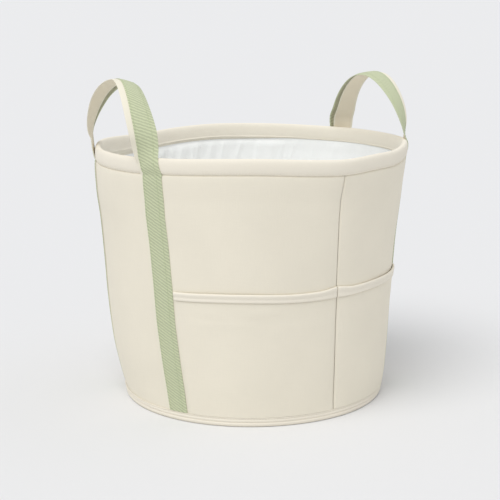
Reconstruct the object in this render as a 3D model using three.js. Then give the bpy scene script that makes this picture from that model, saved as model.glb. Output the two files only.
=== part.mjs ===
// Round canvas storage bin with two fabric loop handles and four sewn side pockets.
// Millimetres, +Z up, origin on the floor at the centre of the base.
// The handles stand at -X (left) and +X (right). The seam between the front pockets is near -Y.
import * as THREE from 'three';

const { degToRad, clamp } = THREE.MathUtils;

// Overall size of the body
const BODY_HEIGHT = 295;
const RIM_RADIUS = 178;
const BASE_RADIUS = 152;

// Clearance between two pieces that lie against each other
const GAP = 0.3;

// Wall layers, from the outside in
const SHELL_THICKNESS = 1.2;
const FOAM_THICKNESS = 2.5;
const LINING_THICKNESS = 0.6;

// Gentle shape of the soft wall: a swell that is fuller on one side, and a flare at the two seams
const BELLY_ALL_ROUND = 1.5;
const BELLY_ONE_SIDE = 2;
const BELLY_AZIMUTH = degToRad(150);
const SEAM_FLARE = 2;
const SEAM_FLARE_HALF_WIDTH = degToRad(12);
const SEAM_FLARE_POWER = 4;

// Side seams, where the two shell panels meet
const FRONT_SEAM = degToRad(-84.7);
const BACK_SEAM = FRONT_SEAM + Math.PI;

// Places where the rim has sunk a little
const FRONT_DIP_DEPTH = 6.5;
const LEFT_DIP_DEPTH = 3;
const BACK_DIP_DEPTH = 4.5;
const RIM_DIPS = [
  { azimuth: degToRad(-74), depth: FRONT_DIP_DEPTH, halfWidth: degToRad(45) },
  { azimuth: degToRad(175), depth: LEFT_DIP_DEPTH, halfWidth: degToRad(35) },
  { azimuth: degToRad(113), depth: BACK_DIP_DEPTH, halfWidth: degToRad(40) },
];

// Binding folded over the rim
const RIM_BINDING_THICKNESS = 0.8;
const RIM_BINDING_HEIGHT = 18;

// Binding sewn round the bottom edge
const HEM_HEIGHT = 10;
const HEM_FOLD_THICKNESS = 1;
const HEM_BULGE = 1.8;
const HEM_SLOPE_HEIGHT = 3;
const HEM_REACH_PAST_FOAM = 1;

// Base layers
const BASE_CANVAS_THICKNESS = 1;
const BASE_BOARD_THICKNESS = 2.5;

// Pockets
const POCKET_HEIGHT = 150;
const POCKET_THICKNESS = 0.8;
const POCKET_MOUTH_SLACK = 7;
const POCKET_SEAM_GAP = 1;
const POCKET_STRAP_GAP = 0.4;
const POCKET_PEAK = 2;
const POCKET_PEAK_HALF_WIDTH = degToRad(8);
const POCKET_BINDING_HEIGHT = 8.5;
const POCKET_BINDING_THICKNESS = 0.5;

// Handle straps: a cream backing and a green tape sewn on it a little off its centre
const TAPE_WIDTH = 25.4;
const TAPE_SHIFT = 4.2;
const BACKING_THICKNESS = 1;
const TAPE_THICKNESS = 0.8;
const LEG_HALF_SPACING = 73.2;
const LEG_BOTTOM = 13;
const LEG_RAMP_HEIGHT = 3.3;
const FOLD_HEIGHT = 9;
const LOOP_ROUNDNESS = 1.12;
const LOOP_TWIST_END = 0.42;
const LOOP_TWIST_POWER = 1.8;
const HANDLE_FORWARD = degToRad(1.2);

// Each loop's height above the rim, how far its sides draw in towards each other, how far its top
// leans in over the bin, and how far its sides bow outwards
const LEFT_RISE = 73;
const LEFT_PINCH = 4;
const LEFT_LEAN = 5;
const LEFT_BOW = 4;
const RIGHT_RISE = 70.5;
const RIGHT_PINCH = 5;
const RIGHT_LEAN = 2;
const RIGHT_BOW = -4;
const HANDLES = [
  {
    name: 'left',
    azimuth: Math.PI + HANDLE_FORWARD,
    frontSide: 1,
    rise: LEFT_RISE,
    pinch: LEFT_PINCH,
    lean: LEFT_LEAN,
    bow: LEFT_BOW,
  },
  {
    name: 'right',
    azimuth: -HANDLE_FORWARD,
    frontSide: -1,
    rise: RIGHT_RISE,
    pinch: RIGHT_PINCH,
    lean: RIGHT_LEAN,
    bow: RIGHT_BOW,
  },
];

// Fineness of the faceted surfaces
const AZIMUTH_STEPS = 60;
const WALL_BANDS = 6;
const RIM_ARC_STEPS = 6;
const POCKET_STEPS = 12;
const LOOP_STEPS = 40;

// A shared column or row nearer than this share of a step to an end is left out
const CLOSEST_SHARE = 0.25;

// Turn on each side of a place on the loop over which its direction is measured
const DIRECTION_STEP = 0.001;

// Offsets of each layer's two faces from the outside of the shell, positive outwards
const SHELL = { outer: 0, inner: -SHELL_THICKNESS };
const FOAM = { outer: SHELL.inner - GAP, inner: SHELL.inner - GAP - FOAM_THICKNESS };
const LINING = { outer: FOAM.inner - GAP, inner: FOAM.inner - GAP - LINING_THICKNESS };
const RIM_BINDING = {
  outer: SHELL.outer + GAP + RIM_BINDING_THICKNESS,
  inner: LINING.inner - GAP - RIM_BINDING_THICKNESS,
};
const RIM_CENTRE = (RIM_BINDING.outer + RIM_BINDING.inner) / 2;
const RIM_ROUND = (RIM_BINDING.outer - RIM_BINDING.inner) / 2;
const RIM_HOLLOW = RIM_ROUND - RIM_BINDING_THICKNESS;

const SHELL_BOTTOM = HEM_FOLD_THICKNESS + GAP;
const BOARD_BOTTOM = Math.max(BASE_CANVAS_THICKNESS, HEM_FOLD_THICKNESS) + GAP;
const LINING_BOTTOM = BOARD_BOTTOM + BASE_BOARD_THICKNESS + GAP;
const HEM_FOLD_REACH = FOAM.inner - HEM_REACH_PAST_FOAM;

const POCKET_BOTTOM = HEM_HEIGHT + GAP;
const STRAP_WIDTH = TAPE_WIDTH + TAPE_SHIFT;
const STRAP_STACK = BACKING_THICKNESS + GAP + TAPE_THICKNESS;
const PIVOT_HEIGHT = BODY_HEIGHT + FOLD_HEIGHT;
const PIVOT_RADIUS = RIM_RADIUS + RIM_BINDING.outer + GAP + STRAP_STACK / 2;
const PIVOT_DISTANCE = Math.sqrt(PIVOT_RADIUS ** 2 - LEG_HALF_SPACING ** 2);
const TAPE_OVERLAP = TAPE_WIDTH - TAPE_SHIFT;
const SHARED_STRIPES = [-TAPE_OVERLAP / 2, 0, TAPE_OVERLAP / 2];

// The stripes run from the hole side of the strap to its far side
const STRAP_LAYERS = {
  backing: {
    stripes: [-STRAP_WIDTH / 2, ...SHARED_STRIPES],
    inner: -STRAP_STACK / 2,
    outer: -STRAP_STACK / 2 + BACKING_THICKNESS,
  },
  tape: {
    stripes: [...SHARED_STRIPES, STRAP_WIDTH / 2],
    inner: STRAP_STACK / 2 - TAPE_THICKNESS,
    outer: STRAP_STACK / 2,
  },
};

const canvas = cloth('canvas', 0xe5decb, 0.92);
const canvasBand = cloth('canvas_binding', 0xe6dfcc, 0.9);
const lining = cloth('lining', 0xf1f2f1, 0.85);
const foam = cloth('foam', 0xf4f2ec, 0.95);
const board = cloth('board', 0xb9a27c, 0.85);
const greenTwill = cloth('green_twill', 0xbac69c, 0.8);
const creamTwill = cloth('cream_twill', 0xe7dfcf, 0.85);

const bin = new THREE.Group();
addShell();
addFoam();
addLining();
addBase();
addBindings();
addPockets();
HANDLES.forEach(addHandle);

export default bin;

// Materials

function cloth(name, color, roughness) {
  return new THREE.MeshStandardMaterial({ name, color, roughness, metalness: 0 });
}

// The wall's surface

function bell(distance, halfWidth) {
  const turned = Math.atan2(Math.sin(distance), Math.cos(distance));
  return Math.abs(turned) < halfWidth ? Math.cos((turned / halfWidth) * (Math.PI / 2)) ** 2 : 0;
}

function wallRadius(azimuth, z) {
  const share = clamp(z / BODY_HEIGHT, 0, 1);
  const swell = BELLY_ALL_ROUND + BELLY_ONE_SIDE * Math.cos(azimuth - BELLY_AZIMUTH);
  const atSeam = bell(azimuth - FRONT_SEAM, SEAM_FLARE_HALF_WIDTH)
    + bell(azimuth - BACK_SEAM, SEAM_FLARE_HALF_WIDTH);
  return BASE_RADIUS
    + (RIM_RADIUS - BASE_RADIUS) * share
    + swell * Math.sin(Math.PI * share)
    + SEAM_FLARE * atSeam * share ** SEAM_FLARE_POWER;
}

function rimHeight(azimuth) {
  const sink = RIM_DIPS.map((dip) => dip.depth * bell(azimuth - dip.azimuth, dip.halfWidth));
  return BODY_HEIGHT - sink.reduce((total, depth) => total + depth, 0);
}

function wallPoint(azimuth, z, offset) {
  const radius = wallRadius(azimuth, z) + offset;
  return new THREE.Vector3(radius * Math.cos(azimuth), radius * Math.sin(azimuth), z);
}

// Top edge of a wall layer, tucked under the round top of the rim binding
function layerTop(azimuth, layer) {
  const reach = Math.max(Math.abs(layer.outer - RIM_CENTRE), Math.abs(layer.inner - RIM_CENTRE));
  const arch = Math.sqrt(RIM_HOLLOW ** 2 - reach ** 2);
  return rimHeight(azimuth) - RIM_ROUND + arch - GAP;
}

// Columns that all layers share, so that their facets lie parallel
function sharedColumns(from, to) {
  const step = (2 * Math.PI) / AZIMUTH_STEPS;
  const closest = step * CLOSEST_SHARE;
  const columns = [from];
  for (let azimuth = FRONT_SEAM; azimuth < to - closest; azimuth += step) {
    if (azimuth > from + closest) columns.push(azimuth);
  }
  columns.push(to);
  return columns;
}

function ringColumns() {
  return sharedColumns(FRONT_SEAM, FRONT_SEAM + 2 * Math.PI).slice(0, -1);
}

// Heights that all layers share, between a bottom edge and the nominal height of a top edge
function sharedRows(bottom, nominalTop, top) {
  const rise = BODY_HEIGHT / WALL_BANDS;
  const closest = rise * CLOSEST_SHARE;
  const rows = [bottom];
  for (let z = rise; z < nominalTop - closest; z += rise) {
    if (z > bottom + closest) rows.push(z);
  }
  rows.push(top);
  return rows;
}

// Closed solids

// A section lists its outer points, then its inner points backwards
function section(outerPoints, innerPoints) {
  return [...outerPoints, ...innerPoints.slice().reverse()];
}

function loft(sections, closed = false) {
  const ring = sections[0].length;
  const spans = closed ? sections.length : sections.length - 1;
  const indices = [];
  for (let i = 0; i < spans; i += 1) {
    const here = i * ring;
    const next = ((i + 1) % sections.length) * ring;
    for (let j = 0; j < ring; j += 1) {
      const k = (j + 1) % ring;
      const corners = [here + j, next + j, next + k, here + k];
      // Both faces of a sheet are split along the same diagonal, so that stacked sheets stay parallel
      if (j >= ring / 2) corners.push(corners.shift());
      addQuad(indices, ...corners);
    }
  }
  if (!closed) addCaps(indices, ring, (sections.length - 1) * ring);
  return orientedSolid(sections.flat(), indices);
}

function addCaps(indices, ring, last) {
  for (let j = 0; j < ring / 2 - 1; j += 1) {
    const corners = [j, j + 1, ring - 2 - j, ring - 1 - j];
    addQuad(indices, ...corners);
    addQuad(indices, ...corners.map((corner) => last + corner).reverse());
  }
}

function addQuad(indices, a, b, c, d) {
  indices.push(a, b, c, a, c, d);
}

function orientedSolid(points, indices) {
  let volume = 0;
  for (let i = 0; i < indices.length; i += 3) {
    const [a, b, c] = indices.slice(i, i + 3).map((index) => points[index]);
    volume += a.dot(new THREE.Vector3().crossVectors(b, c));
  }
  const geometry = new THREE.BufferGeometry().setFromPoints(points);
  geometry.setIndex(volume > 0 ? indices : indices.slice().reverse());
  geometry.computeVertexNormals();
  return geometry;
}

function addPiece(name, geometry, material) {
  const mesh = new THREE.Mesh(geometry, material);
  mesh.name = name;
  bin.add(mesh);
  return mesh;
}

// Shell, foam and lining

function wallSheet(columns, layer, bottom, closed = false) {
  const sections = columns.map((azimuth) => {
    const rows = sharedRows(bottom, BODY_HEIGHT, layerTop(azimuth, layer));
    const face = (offset) => rows.map((z) => wallPoint(azimuth, z, offset));
    return section(face(layer.outer), face(layer.inner));
  });
  return loft(sections, closed);
}

function seamToSeam(side) {
  const halfGap = GAP / 2 / BASE_RADIUS;
  const start = side === 'left' ? BACK_SEAM : FRONT_SEAM;
  return sharedColumns(start + halfGap, start + Math.PI - halfGap);
}

function addShell() {
  for (const side of ['left', 'right']) {
    addPiece(`shell_panel_${side}`, wallSheet(seamToSeam(side), SHELL, SHELL_BOTTOM), canvas);
  }
}

function addFoam() {
  for (const side of ['left', 'right']) {
    addPiece(`wall_foam_${side}`, wallSheet(seamToSeam(side), FOAM, SHELL_BOTTOM), foam);
  }
}

function addLining() {
  addPiece('lining_wall', wallSheet(ringColumns(), LINING, LINING_BOTTOM, true), lining);
  addDisc('lining_base', LINING.inner - GAP, LINING_BOTTOM, LINING_THICKNESS, lining);
}

// Base

function addDisc(name, offset, bottom, thickness, material) {
  const radius = BASE_RADIUS + offset;
  const geometry = new THREE.CylinderGeometry(radius, radius, thickness, AZIMUTH_STEPS);
  geometry.rotateX(Math.PI / 2);
  geometry.rotateZ(FRONT_SEAM + Math.PI / 2);
  addPiece(name, geometry, material).position.z = bottom + thickness / 2;
}

function addBase() {
  addDisc('base_canvas', HEM_FOLD_REACH - GAP, 0, BASE_CANVAS_THICKNESS, canvas);
  addDisc('base_board', FOAM.inner - GAP, BOARD_BOTTOM, BASE_BOARD_THICKNESS, board);
}

// Bindings round the rim and round the bottom edge

function archPoints(azimuth, roundness) {
  const crest = rimHeight(azimuth);
  const foot = crest - RIM_BINDING_HEIGHT;
  const points = [wallPoint(azimuth, foot, RIM_CENTRE + roundness)];
  for (let i = 0; i <= RIM_ARC_STEPS; i += 1) {
    const turn = (Math.PI * i) / RIM_ARC_STEPS;
    const z = crest - RIM_ROUND + roundness * Math.sin(turn);
    points.push(wallPoint(azimuth, z, RIM_CENTRE + roundness * Math.cos(turn)));
  }
  points.push(wallPoint(azimuth, foot, RIM_CENTRE - roundness));
  return points;
}

function hemSection(azimuth) {
  const at = (offset, z) => wallPoint(azimuth, z, offset);
  const face = GAP + HEM_FOLD_THICKNESS;
  const outside = [
    at(face, HEM_HEIGHT),
    at(GAP + HEM_BULGE, HEM_HEIGHT - HEM_SLOPE_HEIGHT),
    at(GAP + HEM_BULGE, HEM_SLOPE_HEIGHT),
    at(face, 0),
    at(HEM_FOLD_REACH, 0),
  ];
  const inside = [
    at(GAP, HEM_HEIGHT),
    at(GAP, HEM_HEIGHT - HEM_SLOPE_HEIGHT),
    at(GAP, HEM_SLOPE_HEIGHT),
    at(GAP, HEM_FOLD_THICKNESS),
    at(HEM_FOLD_REACH, HEM_FOLD_THICKNESS),
  ];
  return section(outside, inside);
}

function addBindings() {
  const rim = ringColumns().map((azimuth) => (
    section(archPoints(azimuth, RIM_ROUND), archPoints(azimuth, RIM_HOLLOW))
  ));
  addPiece('rim_binding', loft(rim, true), canvasBand);
  addPiece('base_binding', loft(ringColumns().map(hemSection), true), canvasBand);
}

// Pockets: each runs from a side seam to the nearest handle strap

function chordAzimuth(handle, side, radius) {
  return handle.azimuth + side * Math.asin(LEG_HALF_SPACING / radius);
}

// Azimuth of a place across a handle's leg, on the wall
function legAzimuth(handle, side, across, z) {
  const nominal = chordAzimuth(handle, side, wallRadius(handle.azimuth, z));
  const radius = wallRadius(nominal, z);
  return chordAzimuth(handle, side, radius) + (side * across) / radius;
}

// Azimuth at a share of the way from the seam edge of a pocket to its strap edge
function pocketAzimuth(pocket, share, z) {
  const seamEdge = pocket.seam + (pocket.turn * POCKET_SEAM_GAP) / 2 / wallRadius(pocket.seam, z);
  const edgeAcross = STRAP_WIDTH / 2 + POCKET_STRAP_GAP;
  const strapEdge = legAzimuth(pocket.handle, -pocket.turn, edgeAcross, z);
  const span = Math.atan2(Math.sin(strapEdge - seamEdge), Math.cos(strapEdge - seamEdge));
  return seamEdge + span * share;
}

function pocketTop(azimuth, pocket) {
  return POCKET_HEIGHT + POCKET_PEAK * bell(azimuth - pocket.seam, POCKET_PEAK_HALF_WIDTH);
}

// Distance from the shell to the inside of a pocket, which stands open at the middle of its mouth
function pocketStandOff(share, z) {
  const lift = clamp((z - POCKET_BOTTOM) / (POCKET_HEIGHT - POCKET_BOTTOM), 0, 1);
  return GAP + POCKET_MOUTH_SLACK * Math.sin(Math.PI * share) ** 2 * lift ** 2;
}

function pocketShares() {
  return Array.from({ length: POCKET_STEPS + 1 }, (_, i) => i / POCKET_STEPS);
}

function pocketSection(pocket, share) {
  const topAzimuth = pocketAzimuth(pocket, share, POCKET_HEIGHT);
  const top = pocketTop(topAzimuth, pocket);
  const rows = sharedRows(POCKET_BOTTOM, POCKET_HEIGHT, top);
  const face = (offset) => rows.map((z) => (
    wallPoint(pocketAzimuth(pocket, share, z), z, pocketStandOff(share, z) + offset)
  ));
  return section(face(POCKET_THICKNESS), face(0));
}

// A strip on the pocket's face, folded over its top edge
function pocketBindingSection(pocket, share) {
  const azimuth = pocketAzimuth(pocket, share, POCKET_HEIGHT);
  const top = pocketTop(azimuth, pocket);
  const at = (offset, z) => (
    wallPoint(pocketAzimuth(pocket, share, z), z, pocketStandOff(share, z) + offset)
  );
  const near = POCKET_THICKNESS + GAP;
  const far = near + POCKET_BINDING_THICKNESS;
  const foot = POCKET_HEIGHT - POCKET_BINDING_HEIGHT;
  const fold = top + GAP;
  const outside = [at(far, foot), at(far, fold), at(near, fold + POCKET_BINDING_THICKNESS),
    at(0, fold + POCKET_BINDING_THICKNESS)];
  const inside = [at(near, foot), at(near, top), at(near, fold), at(0, fold)];
  return section(outside, inside);
}

function addPockets() {
  const [left, right] = HANDLES;
  const pockets = [
    { name: 'front_left', seam: FRONT_SEAM, turn: -1, handle: left },
    { name: 'front_right', seam: FRONT_SEAM, turn: 1, handle: right },
    { name: 'back_left', seam: BACK_SEAM, turn: 1, handle: left },
    { name: 'back_right', seam: BACK_SEAM, turn: -1, handle: right },
  ];
  for (const pocket of pockets) {
    const panel = pocketShares().map((share) => pocketSection(pocket, share));
    const binding = pocketShares().map((share) => pocketBindingSection(pocket, share));
    addPiece(`pocket_${pocket.name}`, loft(panel), canvas);
    addPiece(`pocket_binding_${pocket.name}`, loft(binding), canvasBand);
  }
}

// Handles

function handlePoint(handle, distance, chord, z) {
  const along = new THREE.Vector3(Math.cos(handle.azimuth), Math.sin(handle.azimuth), 0);
  const across = new THREE.Vector3(-along.y, along.x, 0);
  return new THREE.Vector3(0, 0, z)
    .addScaledVector(along, distance)
    .addScaledVector(across, chord);
}

// A point of a strap leg that lies on the wall, at a place across the strap
function legWallPoint(handle, side, across, z, offset) {
  return wallPoint(legAzimuth(handle, side, across, z), z, offset);
}

function legColumn(handle, side, across, lift) {
  const crest = rimHeight(legAzimuth(handle, side, across, BODY_HEIGHT));
  const bandFoot = crest - RIM_BINDING_HEIGHT;
  const onShell = GAP + STRAP_STACK / 2 + lift;
  const onBand = RIM_BINDING.outer + onShell;
  const points = sharedRows(LEG_BOTTOM, BODY_HEIGHT, bandFoot - LEG_RAMP_HEIGHT)
    .map((z) => legWallPoint(handle, side, across, z, onShell));
  points.push(legWallPoint(handle, side, across, bandFoot - GAP, onBand));
  points.push(legWallPoint(handle, side, across, crest - RIM_ROUND / 2, onBand));
  const end = PIVOT_HEIGHT - GAP / 2 - Math.abs(lift);
  points.push(handlePoint(handle, PIVOT_DISTANCE + lift, side * (LEG_HALF_SPACING + across), end));
  return points;
}

function legSolid(handle, side, layer) {
  return loft(layer.stripes.map((across) => (
    section(legColumn(handle, side, across, layer.outer), legColumn(handle, side, across, layer.inner))
  )));
}

// Centre of the loop: an arch from the leg at turn +90 degrees to the leg at -90 degrees
function loopCentre(handle, turn) {
  const upright = Math.max(Math.cos(turn), 0);
  const halfWay = Math.sin(2 * turn) ** 2;
  const chord = LEG_HALF_SPACING * Math.sin(turn) - handle.pinch * halfWay * Math.sign(turn);
  const distance = PIVOT_DISTANCE - handle.lean * upright ** 2 + handle.bow * halfWay;
  const rise = (handle.rise - FOLD_HEIGHT) * upright ** LOOP_ROUNDNESS;
  return handlePoint(handle, distance, chord, PIVOT_HEIGHT + rise);
}

// The strap faces outwards at the two folds and turns to face upwards at the top of the loop
function loopFrame(handle, share) {
  const turn = (share * Math.PI) / 2;
  const ahead = Math.max(turn - DIRECTION_STEP, -Math.PI / 2);
  const behind = Math.min(turn + DIRECTION_STEP, Math.PI / 2);
  const tangent = loopCentre(handle, ahead).sub(loopCentre(handle, behind)).normalize();
  const outward = handlePoint(handle, 1, 0, 0);
  outward.addScaledVector(tangent, -outward.dot(tangent)).normalize();
  const crown = new THREE.Vector3().crossVectors(tangent, outward);
  const towardsFold = clamp((Math.abs(share) - LOOP_TWIST_END) / (1 - LOOP_TWIST_END), 0, 1);
  const twist = (1 - towardsFold ** LOOP_TWIST_POWER) * (Math.PI / 2);
  const normal = outward.multiplyScalar(Math.cos(twist)).addScaledVector(crown, Math.sin(twist));
  const width = new THREE.Vector3().crossVectors(tangent, normal);
  return { centre: loopCentre(handle, turn), normal, width };
}

function loopPoint(frame, share, across, lift) {
  const point = frame.centre.clone()
    .addScaledVector(frame.width, across)
    .addScaledVector(frame.normal, lift);
  if (Math.abs(share) === 1) {
    point.z = PIVOT_HEIGHT + GAP / 2 + Math.abs(lift);
  }
  return point;
}

function loopSolid(handle, layer) {
  const sections = Array.from({ length: LOOP_STEPS + 1 }, (_, i) => {
    const share = 1 - (2 * i) / LOOP_STEPS;
    const frame = loopFrame(handle, share);
    const face = (lift) => layer.stripes.map((across) => loopPoint(frame, share, across, lift));
    return section(face(layer.outer), face(layer.inner));
  });
  return loft(sections);
}

function addHandle(handle) {
  const materials = { backing: creamTwill, tape: greenTwill };
  for (const [layerName, layer] of Object.entries(STRAP_LAYERS)) {
    const material = materials[layerName];
    addPiece(`${handle.name}_loop_${layerName}`, loopSolid(handle, layer), material);
    const legs = { front: handle.frontSide, rear: -handle.frontSide };
    for (const [legName, side] of Object.entries(legs)) {
      addPiece(`${handle.name}_${legName}_leg_${layerName}`, legSolid(handle, side, layer), material);
    }
  }
}
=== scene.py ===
"""A round canvas storage bin with two loop handles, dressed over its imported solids.

Metres, +Z up, origin on the floor at the centre of the base. The handles stand at -X (left) and
+X (right), and the seam between the front pockets is near -Y.
"""
import math

import bmesh
import bpy
from mathutils import Matrix, Vector, noise


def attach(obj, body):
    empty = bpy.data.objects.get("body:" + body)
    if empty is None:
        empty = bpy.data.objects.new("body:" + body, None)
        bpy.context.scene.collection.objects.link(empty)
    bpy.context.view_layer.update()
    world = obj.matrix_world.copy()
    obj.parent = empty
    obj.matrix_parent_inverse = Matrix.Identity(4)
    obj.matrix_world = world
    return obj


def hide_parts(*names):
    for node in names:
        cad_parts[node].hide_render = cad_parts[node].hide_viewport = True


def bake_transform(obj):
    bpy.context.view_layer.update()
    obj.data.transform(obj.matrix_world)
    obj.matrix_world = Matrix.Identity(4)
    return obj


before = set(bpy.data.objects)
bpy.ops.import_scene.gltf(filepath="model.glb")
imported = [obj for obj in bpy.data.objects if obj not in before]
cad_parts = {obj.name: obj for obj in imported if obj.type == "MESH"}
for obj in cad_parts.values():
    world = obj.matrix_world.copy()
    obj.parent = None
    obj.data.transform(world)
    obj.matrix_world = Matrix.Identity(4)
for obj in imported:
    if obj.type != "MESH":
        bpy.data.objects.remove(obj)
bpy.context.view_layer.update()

MM = 0.001

# Body, with the solids' own sizes
BODY_HEIGHT = 295 * MM
RIM_RADIUS = 178 * MM
BASE_RADIUS = 152 * MM
GAP = 0.3 * MM
SHELL_THICKNESS = 1.2 * MM
FOAM_THICKNESS = 2.5 * MM
LINING_THICKNESS = 0.6 * MM
BELLY_ALL_ROUND = 1.5 * MM
BELLY_ONE_SIDE = 2 * MM
BELLY_AZIMUTH = math.radians(150)
SEAM_FLARE = 2 * MM
SEAM_FLARE_HALF_WIDTH = math.radians(12)
SEAM_FLARE_POWER = 4
FRONT_SEAM = math.radians(-84.7)
BACK_SEAM = FRONT_SEAM + math.pi
RIM_DIPS = [
    (math.radians(-74), 6.5 * MM, math.radians(45)),
    (math.radians(175), 3 * MM, math.radians(35)),
    (math.radians(113), 4.5 * MM, math.radians(40)),
]
RIM_BINDING_THICKNESS = 0.8 * MM
HEM_HEIGHT = 10 * MM
BASE_CANVAS_THICKNESS = 1 * MM
BASE_BOARD_THICKNESS = 2.5 * MM

# Pockets, with the solids' own sizes
POCKET_HEIGHT = 150 * MM
POCKET_THICKNESS = 0.8 * MM
POCKET_SEAM_GAP = 1 * MM
POCKET_STRAP_GAP = 0.4 * MM
POCKET_PEAK = 2 * MM
POCKET_PEAK_HALF_WIDTH = math.radians(8)
POCKET_BINDING_HEIGHT = 8.5 * MM
POCKET_BINDING_THICKNESS = 0.5 * MM

# Handles, with the solids' own sizes
TAPE_WIDTH = 25.4 * MM
TAPE_SHIFT = 4.2 * MM
BACKING_THICKNESS = 1 * MM
TAPE_THICKNESS = 0.8 * MM
LEG_HALF_SPACING = 73.2 * MM
FOLD_HEIGHT = 9 * MM
HANDLE_FORWARD = math.radians(1.2)

# Each loop as it stands: its height above the rim, how full its arch is, how far its sides draw in
# and bow outwards, how far its top leans in and moves along the rim, and which way its top faces.
# Each side of a loop, 1 for the greater azimuth, then has the way the strap faces where the loop
# starts, how late it turns from there, how far below the rim it peels off, how far out it stands
# where the loop starts, and how far its leg strays sideways at some heights, all three in mm.
HANDLES = [
    {"name": "left", "azimuth": math.pi + HANDLE_FORWARD, "rise": 75.2 * MM, "fullness": 1.19,
     "pinch": 0.7 * MM, "bow": 5.2 * MM, "lean": 7 * MM, "shift": 3 * MM,
     "crown": math.radians(105),
     "sides": {1: {"facing": math.radians(46), "power": 1.8, "peel": 8, "out": 0,
                   "stray": [(110, 0), (150, 1.4), (195, 1.8), (230, 1), (268, 2.2), (278, 1.9),
                             (290, -1), (304, -2.2)]},
               -1: {"facing": math.radians(27), "power": 1.3, "peel": 20, "out": 3,
                    "stray": [(0, 0)]}}},
    {"name": "right", "azimuth": -HANDLE_FORWARD, "rise": 71.7 * MM, "fullness": 1.26,
     "pinch": 1.2 * MM, "bow": -1.8 * MM, "lean": 3.2 * MM, "shift": 0.4 * MM,
     "crown": math.radians(94),
     "sides": {1: {"facing": math.radians(58), "power": 3, "peel": 12, "out": 0,
                   "stray": [(255, 0), (285, 4.5), (304, 5.3)]},
               -1: {"facing": math.radians(36), "power": 1.5, "peel": 6, "out": -3.3,
                    "stray": [(0, -3.5), (40, -4.5), (250, -4.5), (270, -2), (290, 0)]}}},
]

# Layers of the wall, as offsets from the outside of the shell
SHELL_INNER = -SHELL_THICKNESS
FOAM_OUTER = SHELL_INNER - GAP
FOAM_INNER = FOAM_OUTER - FOAM_THICKNESS
LINING_OUTER = FOAM_INNER - GAP
LINING_INNER = LINING_OUTER - LINING_THICKNESS
BAND_OUTER = GAP + RIM_BINDING_THICKNESS
BAND_INNER = LINING_INNER - GAP - RIM_BINDING_THICKNESS
BAND_CENTRE = (BAND_OUTER + BAND_INNER) / 2
BAND_ROUND = (BAND_OUTER - BAND_INNER) / 2
BAND_HOLLOW = BAND_ROUND - RIM_BINDING_THICKNESS
SHELL_BOTTOM = 1 * MM + GAP
LINING_BOTTOM = SHELL_BOTTOM + BASE_BOARD_THICKNESS + GAP
HEM_REACH = FOAM_INNER - 1 * MM
STRAP_WIDTH = TAPE_WIDTH + TAPE_SHIFT
STRAP_STACK = BACKING_THICKNESS + GAP + TAPE_THICKNESS
PIVOT_HEIGHT = BODY_HEIGHT + FOLD_HEIGHT
PIVOT_RADIUS = RIM_RADIUS + BAND_OUTER + GAP + STRAP_STACK / 2
PIVOT_DISTANCE = math.sqrt(PIVOT_RADIUS ** 2 - LEG_HALF_SPACING ** 2)
FLAT_FACING = math.asin(LEG_HALF_SPACING / PIVOT_RADIUS)

# Soft shape that only the cloth has
POCKET_SLACK = 1.1 * MM
POCKET_SLACK_SKEW = 2.2
POCKET_DRAPE = 0.5 * MM
POCKET_DRAPE_BASE = 0.6
POCKET_DRAPE_LENGTH = 45 * MM
POCKET_DRAPE_HEIGHT = 60 * MM
POCKET_GROOVE = 0.5 * MM
POCKET_GROOVE_HEIGHT = 1.6 * MM
POCKET_BINDING_SPREAD = 0.8 * MM
POCKET_BINDING_SPREAD_SHARE = 0.3
POCKET_EDGE_ROLL = 0.75 * MM
POCKET_EDGE_SHARE = 0.016
POCKET_SEAM_WANDER = 0.8 * MM
POCKET_SEAM_WAVE = 22 * MM
DRAG_FOLD = 1.0 * MM
DRAG_FOLD_REACH = 45 * MM
DRAG_FOLD_LENGTH = 40 * MM
DRAG_FOLD_HEIGHT = 7 * MM
DRAG_FOLD_SLANT = 0.5
RIPPLE_DEPTH = 0.9 * MM
RIPPLE_LENGTH = 70 * MM
RIPPLE_HEIGHT = 130 * MM
RIPPLE_START = 40 * MM
PUFF_DEPTH = 1.0 * MM
PUFF_HEIGHT = 28 * MM
SEAM_GROOVE = 0.95 * MM
SEAM_GROOVE_WIDTH = 2.6 * MM
SEAM_VALLEY = 1.8 * MM
SEAM_VALLEY_WIDTH = 24 * MM
SEAM_VALLEY_FADE = 25 * MM
SEAM_DRIFT = [(0, 2.8), (0.5, 0.75), (0.76, 0.1), (0.84, 0.2), (0.92, 0.7), (1, 1.5)]
SEAM_DRIFT_HALF_WIDTH = math.radians(30)
FOOT_GROOVE = 0.8 * MM
FOOT_GROOVE_HEIGHT = 1.8 * MM
BAND_HEIGHT = 17 * MM
BAND_BULGE = 0.9 * MM
BAND_FOOT_STEP = 0.4 * MM
BAND_WIDEST = 0.4
BAND_FULLNESS = 2.6
INNER_BAND_BULGE = 0.4 * MM
INNER_BAND_FOOT_STEP = 0.2 * MM
PUCKER_DEPTH = 0.12 * MM
PUCKER_LENGTH = 4.2 * MM
PUCKER_FADE = 1.6
PUCKER_WANDER = 3
PUCKER_WANDER_LENGTH = 30 * MM

# How far the wall stands out from the solids' plain curve on each side: the azimuth, the half width
# and the distances in mm at some heights in mm
SIDE_SHIFTS = [
    (math.radians(160), math.radians(70),
     [(0, -2.4), (10, -1.5), (20, 0), (49, 2.9), (65, 3.8), (100, 3.5), (127, 2.7), (156, 1.3),
      (185, 0.8), (213, 1), (231, 2.5), (245, 3.2), (259, 2.3), (275, 1), (295, 0)]),
    (math.radians(-34), math.radians(50),
     [(0, -2.5), (10, 0), (30, 1.2), (60, 0.9), (85, 0), (105, -0.8), (150, -1.5), (175, -1.9),
      (195, -1.6), (215, -0.5), (235, 0.2), (256, 0.5), (270, 0)]),
]
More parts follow.
